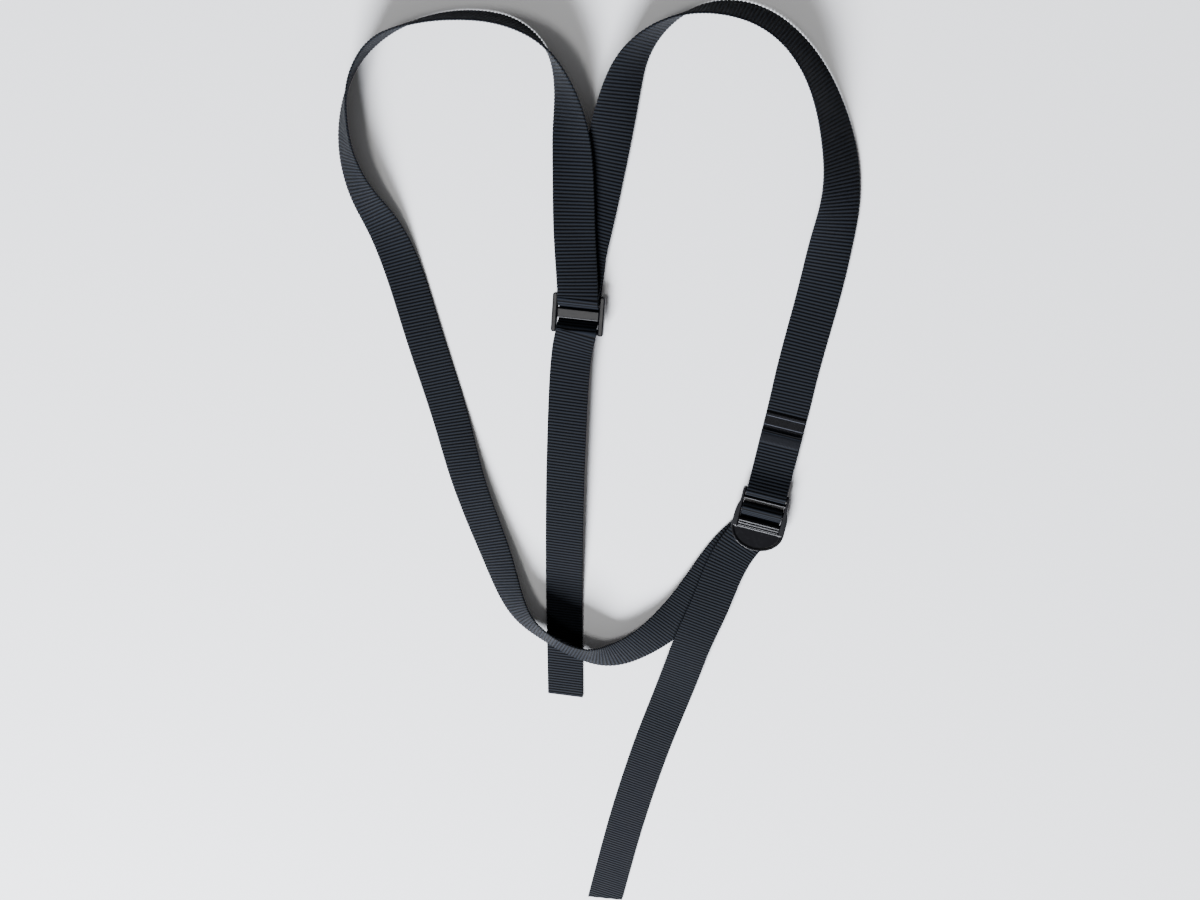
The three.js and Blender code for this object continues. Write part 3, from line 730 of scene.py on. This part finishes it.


# Solution-dyed nylon 6.6, woven flat with a heavy weft: matt blue-black ribs, with painted shade
# that turns the grooves between them near-black, fine lengthwise yarns on each rib, and the faintest cool
# sheen.
def wovenNylonWebbing():
    material, tree = newMaterial("wovenNylonWebbing")
    uv = addNode(tree, "ShaderNodeUVMap", {"uv_map": "webbingMetres"})
    split = addNode(tree, "ShaderNodeSeparateXYZ", links={0: uv.outputs[0]})
    phase = addNode(tree, "ShaderNodeMath",
                    {"operation": "MULTIPLY", 1: math.pi / (webbing["ribPitch"] * mm)},
                    {0: split.outputs["Y"]})
    wave = addNode(tree, "ShaderNodeMath", {"operation": "COSINE"}, {0: phase.outputs[0]})
    crest = addNode(tree, "ShaderNodeMath", {"operation": "ABSOLUTE"}, {0: wave.outputs[0]})
    yarnPhase = addNode(tree, "ShaderNodeMath",
                        {"operation": "MULTIPLY", 1: 2 * math.pi / (webbingFinish["yarnSpacing"] * mm)},
                        {0: split.outputs["X"]})
    yarn = addNode(tree, "ShaderNodeMath", {"operation": "SINE"}, {0: yarnPhase.outputs[0]})
    place = addNode(tree, "ShaderNodeTexCoord")
    mottle = addNode(tree, "ShaderNodeTexNoise",
                     {"Scale": webbingFinish["mottlePerMetre"], "Detail": 5.0, "Roughness": 0.6},
                     {"Vector": place.outputs["Object"]})
    fibre = addNode(tree, "ShaderNodeTexNoise",
                    {"Scale": webbingFinish["fibrePerMetre"], "Detail": 3.0, "Roughness": 0.7},
                    {"Vector": place.outputs["Object"]})
    body = addNode(tree, "ShaderNodeMix", {"data_type": "RGBA", 6: hexToLinear(webbingFinish["crest"]),
                                           7: hexToLinear(webbingFinish["wornCrest"])},
                   {0: mottle.outputs["Fac"]})
    # Painted shade: the colour fades to near-black down each groove, where shade falls between the ribs.
    grooveShadeFade = addNode(tree, "ShaderNodeMapRange", {"From Min": webbingFinish["paintedShadeFrom"], "From Max": 1.0},
                    {"Value": crest.outputs[0]})
    colour = addNode(tree, "ShaderNodeMix", {"data_type": "RGBA", 6: hexToLinear(webbingFinish["paintedGrooveShade"])},
                     {0: grooveShadeFade.outputs[0], 7: body.outputs[2]})
    rough = addNode(tree, "ShaderNodeMapRange",
                    {"To Min": webbingFinish["roughness"] - webbingFinish["roughnessBelow"],
                     "To Max": webbingFinish["roughness"] + webbingFinish["roughnessAbove"]},
                    {"Value": mottle.outputs["Fac"]})
    yarnBump = addNode(tree, "ShaderNodeBump",
                       {"Strength": 0.45, "Distance": webbingFinish["yarnRelief"] * mm},
                       {"Height": yarn.outputs[0]})
    fibreBump = addNode(tree, "ShaderNodeBump",
                        {"Strength": 0.35, "Distance": webbingFinish["fibreRelief"] * mm},
                        {"Height": fibre.outputs["Fac"], "Normal": yarnBump.outputs[0]})
    shader = addNode(tree, "ShaderNodeBsdfPrincipled",
                     {"IOR": 1.53, "Specular IOR Level": webbingFinish["specular"],
                      "Sheen Weight": webbingFinish["sheen"], "Sheen Roughness": 0.45,
                      "Sheen Tint": hexToLinear(webbingFinish["sheenTint"])},
                     {"Base Color": colour.outputs[2], "Roughness": rough.outputs[0],
                      "Normal": fibreBump.outputs[0]})
    finishMaterial(tree, shader)
    return material


mouldingFinish = {
    "colour": "#050508",
    "scuffed": "#0c0c11",
    "roughness": 0.29,
    "specular": 0.2,
    "scuffPerMetre": 420.0,     # scuffs about 2 mm across
    "scuffDulling": 0.04,       # roughness that a scuff adds
    "tooling": 0.35,            # mm, grain of the mould's spark-eroded face, coarsened so that it shows
    "toolingRelief": 0.04,      # mm
}


# Black acetal, injection moulded: a satin skin with clear highlights, a very fine tool grain and
# slightly duller scuffs in patches.
def mouldedAcetal():
    material, tree = newMaterial("mouldedAcetal")
    place = addNode(tree, "ShaderNodeTexCoord")
    grain = addNode(tree, "ShaderNodeTexNoise",
                    {"Scale": 1 / (mouldingFinish["tooling"] * mm), "Detail": 3.0},
                    {"Vector": place.outputs["Object"]})
    scuff = addNode(tree, "ShaderNodeTexNoise",
                    {"Scale": mouldingFinish["scuffPerMetre"], "Detail": 6.0, "Roughness": 0.7},
                    {"Vector": place.outputs["Object"]})
    worn = addNode(tree, "ShaderNodeMapRange", {"From Min": 0.52, "From Max": 0.72},
                   {"Value": scuff.outputs["Fac"]})
    colour = addNode(tree, "ShaderNodeMix", {"data_type": "RGBA", 6: hexToLinear(mouldingFinish["colour"]),
                                             7: hexToLinear(mouldingFinish["scuffed"])}, {0: worn.outputs[0]})
    rough = addNode(tree, "ShaderNodeMapRange",
                    {"To Min": mouldingFinish["roughness"],
                     "To Max": mouldingFinish["roughness"] + mouldingFinish["scuffDulling"]},
                    {"Value": worn.outputs[0]})
    bump = addNode(tree, "ShaderNodeBump",
                   {"Strength": 0.12, "Distance": mouldingFinish["toolingRelief"] * mm},
                   {"Height": grain.outputs["Fac"]})
    shader = addNode(tree, "ShaderNodeBsdfPrincipled",
                     {"IOR": 1.48, "Specular IOR Level": mouldingFinish["specular"]},
                     {"Base Color": colour.outputs[2], "Roughness": rough.outputs[0],
                      "Normal": bump.outputs[0]})
    finishMaterial(tree, shader)
    return material


labelFinish = {
    "ground": "#050507",
    "line": "#4a4d55",
    "pickSpacing": 0.36,        # mm, drawn a little coarse so that it shows
    "weaveRelief": 0.08,        # mm
    "lineFromEdge": 2.3,        # mm
    "lineWidth": 0.4,           # mm
    "roughness": 0.6,
    "specular": 0.05,
}


# Damask-woven polyester label: a matt black face, tighter than the webbing, with a plain grey
# line woven in along each long edge.
def damaskPolyester():
    material, tree = newMaterial("damaskPolyester")
    uv = addNode(tree, "ShaderNodeUVMap", {"uv_map": "labelMetres"})
    split = addNode(tree, "ShaderNodeSeparateXYZ", links={0: uv.outputs[0]})
    high = addNode(tree, "ShaderNodeMath", {"operation": "ABSOLUTE"}, {0: split.outputs["Y"]})
    lineAt = (lockMoulding["labelLength"] / 2 - labelFinish["lineFromEdge"]) * mm
    line = addNode(tree, "ShaderNodeMath", {"operation": "COMPARE", 1: lineAt,
                                            2: labelFinish["lineWidth"] / 2 * mm}, {0: high.outputs[0]})
    picks = []
    for axis in ("X", "Y"):
        phase = addNode(tree, "ShaderNodeMath",
                        {"operation": "MULTIPLY", 1: 2 * math.pi / (labelFinish["pickSpacing"] * mm)},
                        {0: split.outputs[axis]})
        picks.append(addNode(tree, "ShaderNodeMath", {"operation": "SINE"}, {0: phase.outputs[0]}))
    weave = addNode(tree, "ShaderNodeMath", {"operation": "MULTIPLY"},
                    {0: picks[0].outputs[0], 1: picks[1].outputs[0]})
    colour = addNode(tree, "ShaderNodeMix", {"data_type": "RGBA", 6: hexToLinear(labelFinish["ground"]),
                                             7: hexToLinear(labelFinish["line"])}, {0: line.outputs[0]})
    bump = addNode(tree, "ShaderNodeBump", {"Strength": 0.5, "Distance": labelFinish["weaveRelief"] * mm},
                   {"Height": weave.outputs[0]})
    shader = addNode(tree, "ShaderNodeBsdfPrincipled",
                     {"IOR": 1.55, "Roughness": labelFinish["roughness"],
                      "Specular IOR Level": labelFinish["specular"]},
                     {"Base Color": colour.outputs[2], "Normal": bump.outputs[0]})
    finishMaterial(tree, shader)
    return material


threadFinish = {
    "colour": "#0a0b0e",
    "ply": "#191b21",
    "plyScale": 900.0,          # how close the twist's bands lie
    "plyRelief": 0.06,          # mm
    "roughness": 0.6,
    "specular": 0.1,
}


# Bonded nylon sewing thread, twisted from three plies: about as matt as the webbing, and told
# from it by its fine passes.
def bondedNylonThread():
    material, tree = newMaterial("bondedNylonThread")
    place = addNode(tree, "ShaderNodeTexCoord")
    ply = addNode(tree, "ShaderNodeTexWave",
                  {"Scale": threadFinish["plyScale"], "Distortion": 1.2, "bands_direction": "DIAGONAL"},
                  {"Vector": place.outputs["Object"]})
    shade = addNode(tree, "ShaderNodeMix", {"data_type": "RGBA", 6: hexToLinear(threadFinish["colour"]),
                                            7: hexToLinear(threadFinish["ply"])}, {0: ply.outputs["Fac"]})
    bump = addNode(tree, "ShaderNodeBump", {"Strength": 0.4, "Distance": threadFinish["plyRelief"] * mm},
                   {"Height": ply.outputs["Fac"]})
    shader = addNode(tree, "ShaderNodeBsdfPrincipled",
                     {"IOR": 1.53, "Roughness": threadFinish["roughness"],
                      "Specular IOR Level": threadFinish["specular"]},
                     {"Base Color": shade.outputs[2], "Normal": bump.outputs[0]})
    finishMaterial(tree, shader)
    return material


searedFinish = {
    "colour": "#09090c",
    "lump": "#1b1c22",
    "lumpsPerMetre": 1300.0,    # lumps about 0.8 mm across
    "lumpRelief": 0.2,          # mm
    "roughness": 0.36,
}


# Nylon melted by the hot knife: a hard, slightly shiny, uneven bead.
def searedNylon():
    material, tree = newMaterial("searedNylon")
    place = addNode(tree, "ShaderNodeTexCoord")
    lumps = addNode(tree, "ShaderNodeTexNoise", {"Scale": searedFinish["lumpsPerMetre"], "Detail": 3.0},
                    {"Vector": place.outputs["Object"]})
    shade = addNode(tree, "ShaderNodeMix", {"data_type": "RGBA", 6: hexToLinear(searedFinish["colour"]),
                                            7: hexToLinear(searedFinish["lump"])}, {0: lumps.outputs["Fac"]})
    bump = addNode(tree, "ShaderNodeBump", {"Strength": 0.6, "Distance": searedFinish["lumpRelief"] * mm},
                   {"Height": lumps.outputs["Fac"]})
    shader = addNode(tree, "ShaderNodeBsdfPrincipled", {"IOR": 1.53, "Roughness": searedFinish["roughness"]},
                     {"Base Color": shade.outputs[2], "Normal": bump.outputs[0]})
    finishMaterial(tree, shader)
    return material


nylon, acetal, damask, sewingThread, seared = (
    wovenNylonWebbing(), mouldedAcetal(), damaskPolyester(), bondedNylonThread(), searedNylon())
for material, pieces in (
        (nylon, (longStrap, shortStrap)), (acetal, (sliderBody, lockBody)), (damask, (labelPlate,)),
        (sewingThread, (lockTack, sliderTack, labelThread)), (seared, (lockTailBead, sliderTailBead))):
    for piece in pieces:
        piece.data.materials.clear()
        piece.data.materials.append(material)
        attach(piece, "root")
print("materials set")

studio = {
    "floorColour": "#fafafa",
    "floorRoughness": 0.9,
    "floorHalf": 6,             # metres
    "floorDrop": 0.05,          # mm that the floor lies below the webbing
    "worldColour": "#fbfbfd",
    "worldStrength": 0.2,
    "overhead": {"place": (-0.38, 0.10, 1.6), "size": 0.35, "energy": 7.0, "colour": "#ffffff"},
    "front": {"place": (-0.8, -2.6, 1.8), "size": 1.5, "energy": 500.0, "colour": "#f4f7ff"},
}


def paintedFloor():
    material, tree = newMaterial("paintedFloor")
    shader = addNode(tree, "ShaderNodeBsdfPrincipled",
                     {"Base Color": hexToLinear(studio["floorColour"]),
                      "Roughness": studio["floorRoughness"]})
    finishMaterial(tree, shader)
    return material


floorMesh = bpy.data.meshes.new("studioFloor")
reach = studio["floorHalf"]
floorMesh.from_pydata([(-reach, -reach, 0), (reach, -reach, 0), (reach, reach, 0), (-reach, reach, 0)],
                      [], [(0, 1, 2, 3)])
floor = newObject("studioFloor", floorMesh)
floor.location.z = -studio["floorDrop"] * mm
floorMesh.materials.append(paintedFloor())


# A square softbox that faces the frame's origin.
def softLight(name, light):
    lamp = bpy.data.lights.new(name, "AREA")
    lamp.size = light["size"]
    lamp.energy = light["energy"]
    lamp.color = hexToLinear(light["colour"])[:3]
    obj = bpy.data.objects.new(name, lamp)
    obj.location = light["place"]
    obj.rotation_euler = (-Vector(light["place"])).to_track_quat("-Z", "Y").to_euler()
    bpy.context.scene.collection.objects.link(obj)


softLight("overheadSoftbox", studio["overhead"])
softLight("frontSoftbox", studio["front"])

world = bpy.data.worlds.new("paleStudio")
bpy.context.scene.world = world
world.use_nodes = True
background = world.node_tree.nodes["Background"]
background.inputs["Color"].default_value = hexToLinear(studio["worldColour"])
background.inputs["Strength"].default_value = studio["worldStrength"]

viewpoint = {
    "place": (0.1641, 0.3244, 0.7328),         # metres from the layout's own origin
    "turn": (-23.37, 12.63, 0.0),              # degrees
    "lens": 39.0,                              # mm
    "sensor": 36.0,                            # mm
}
camera = bpy.data.objects.new("camera", bpy.data.cameras.new("camera"))
camera.data.sensor_width = viewpoint["sensor"]
camera.data.lens = viewpoint["lens"]
camera.data.clip_start = 0.01
camera.location = Vector(viewpoint["place"]) + layoutShift * mm
camera.rotation_euler = [math.radians(angle) for angle in viewpoint["turn"]]
bpy.context.scene.collection.objects.link(camera)
bpy.context.scene.camera = camera

print("lights and camera set")
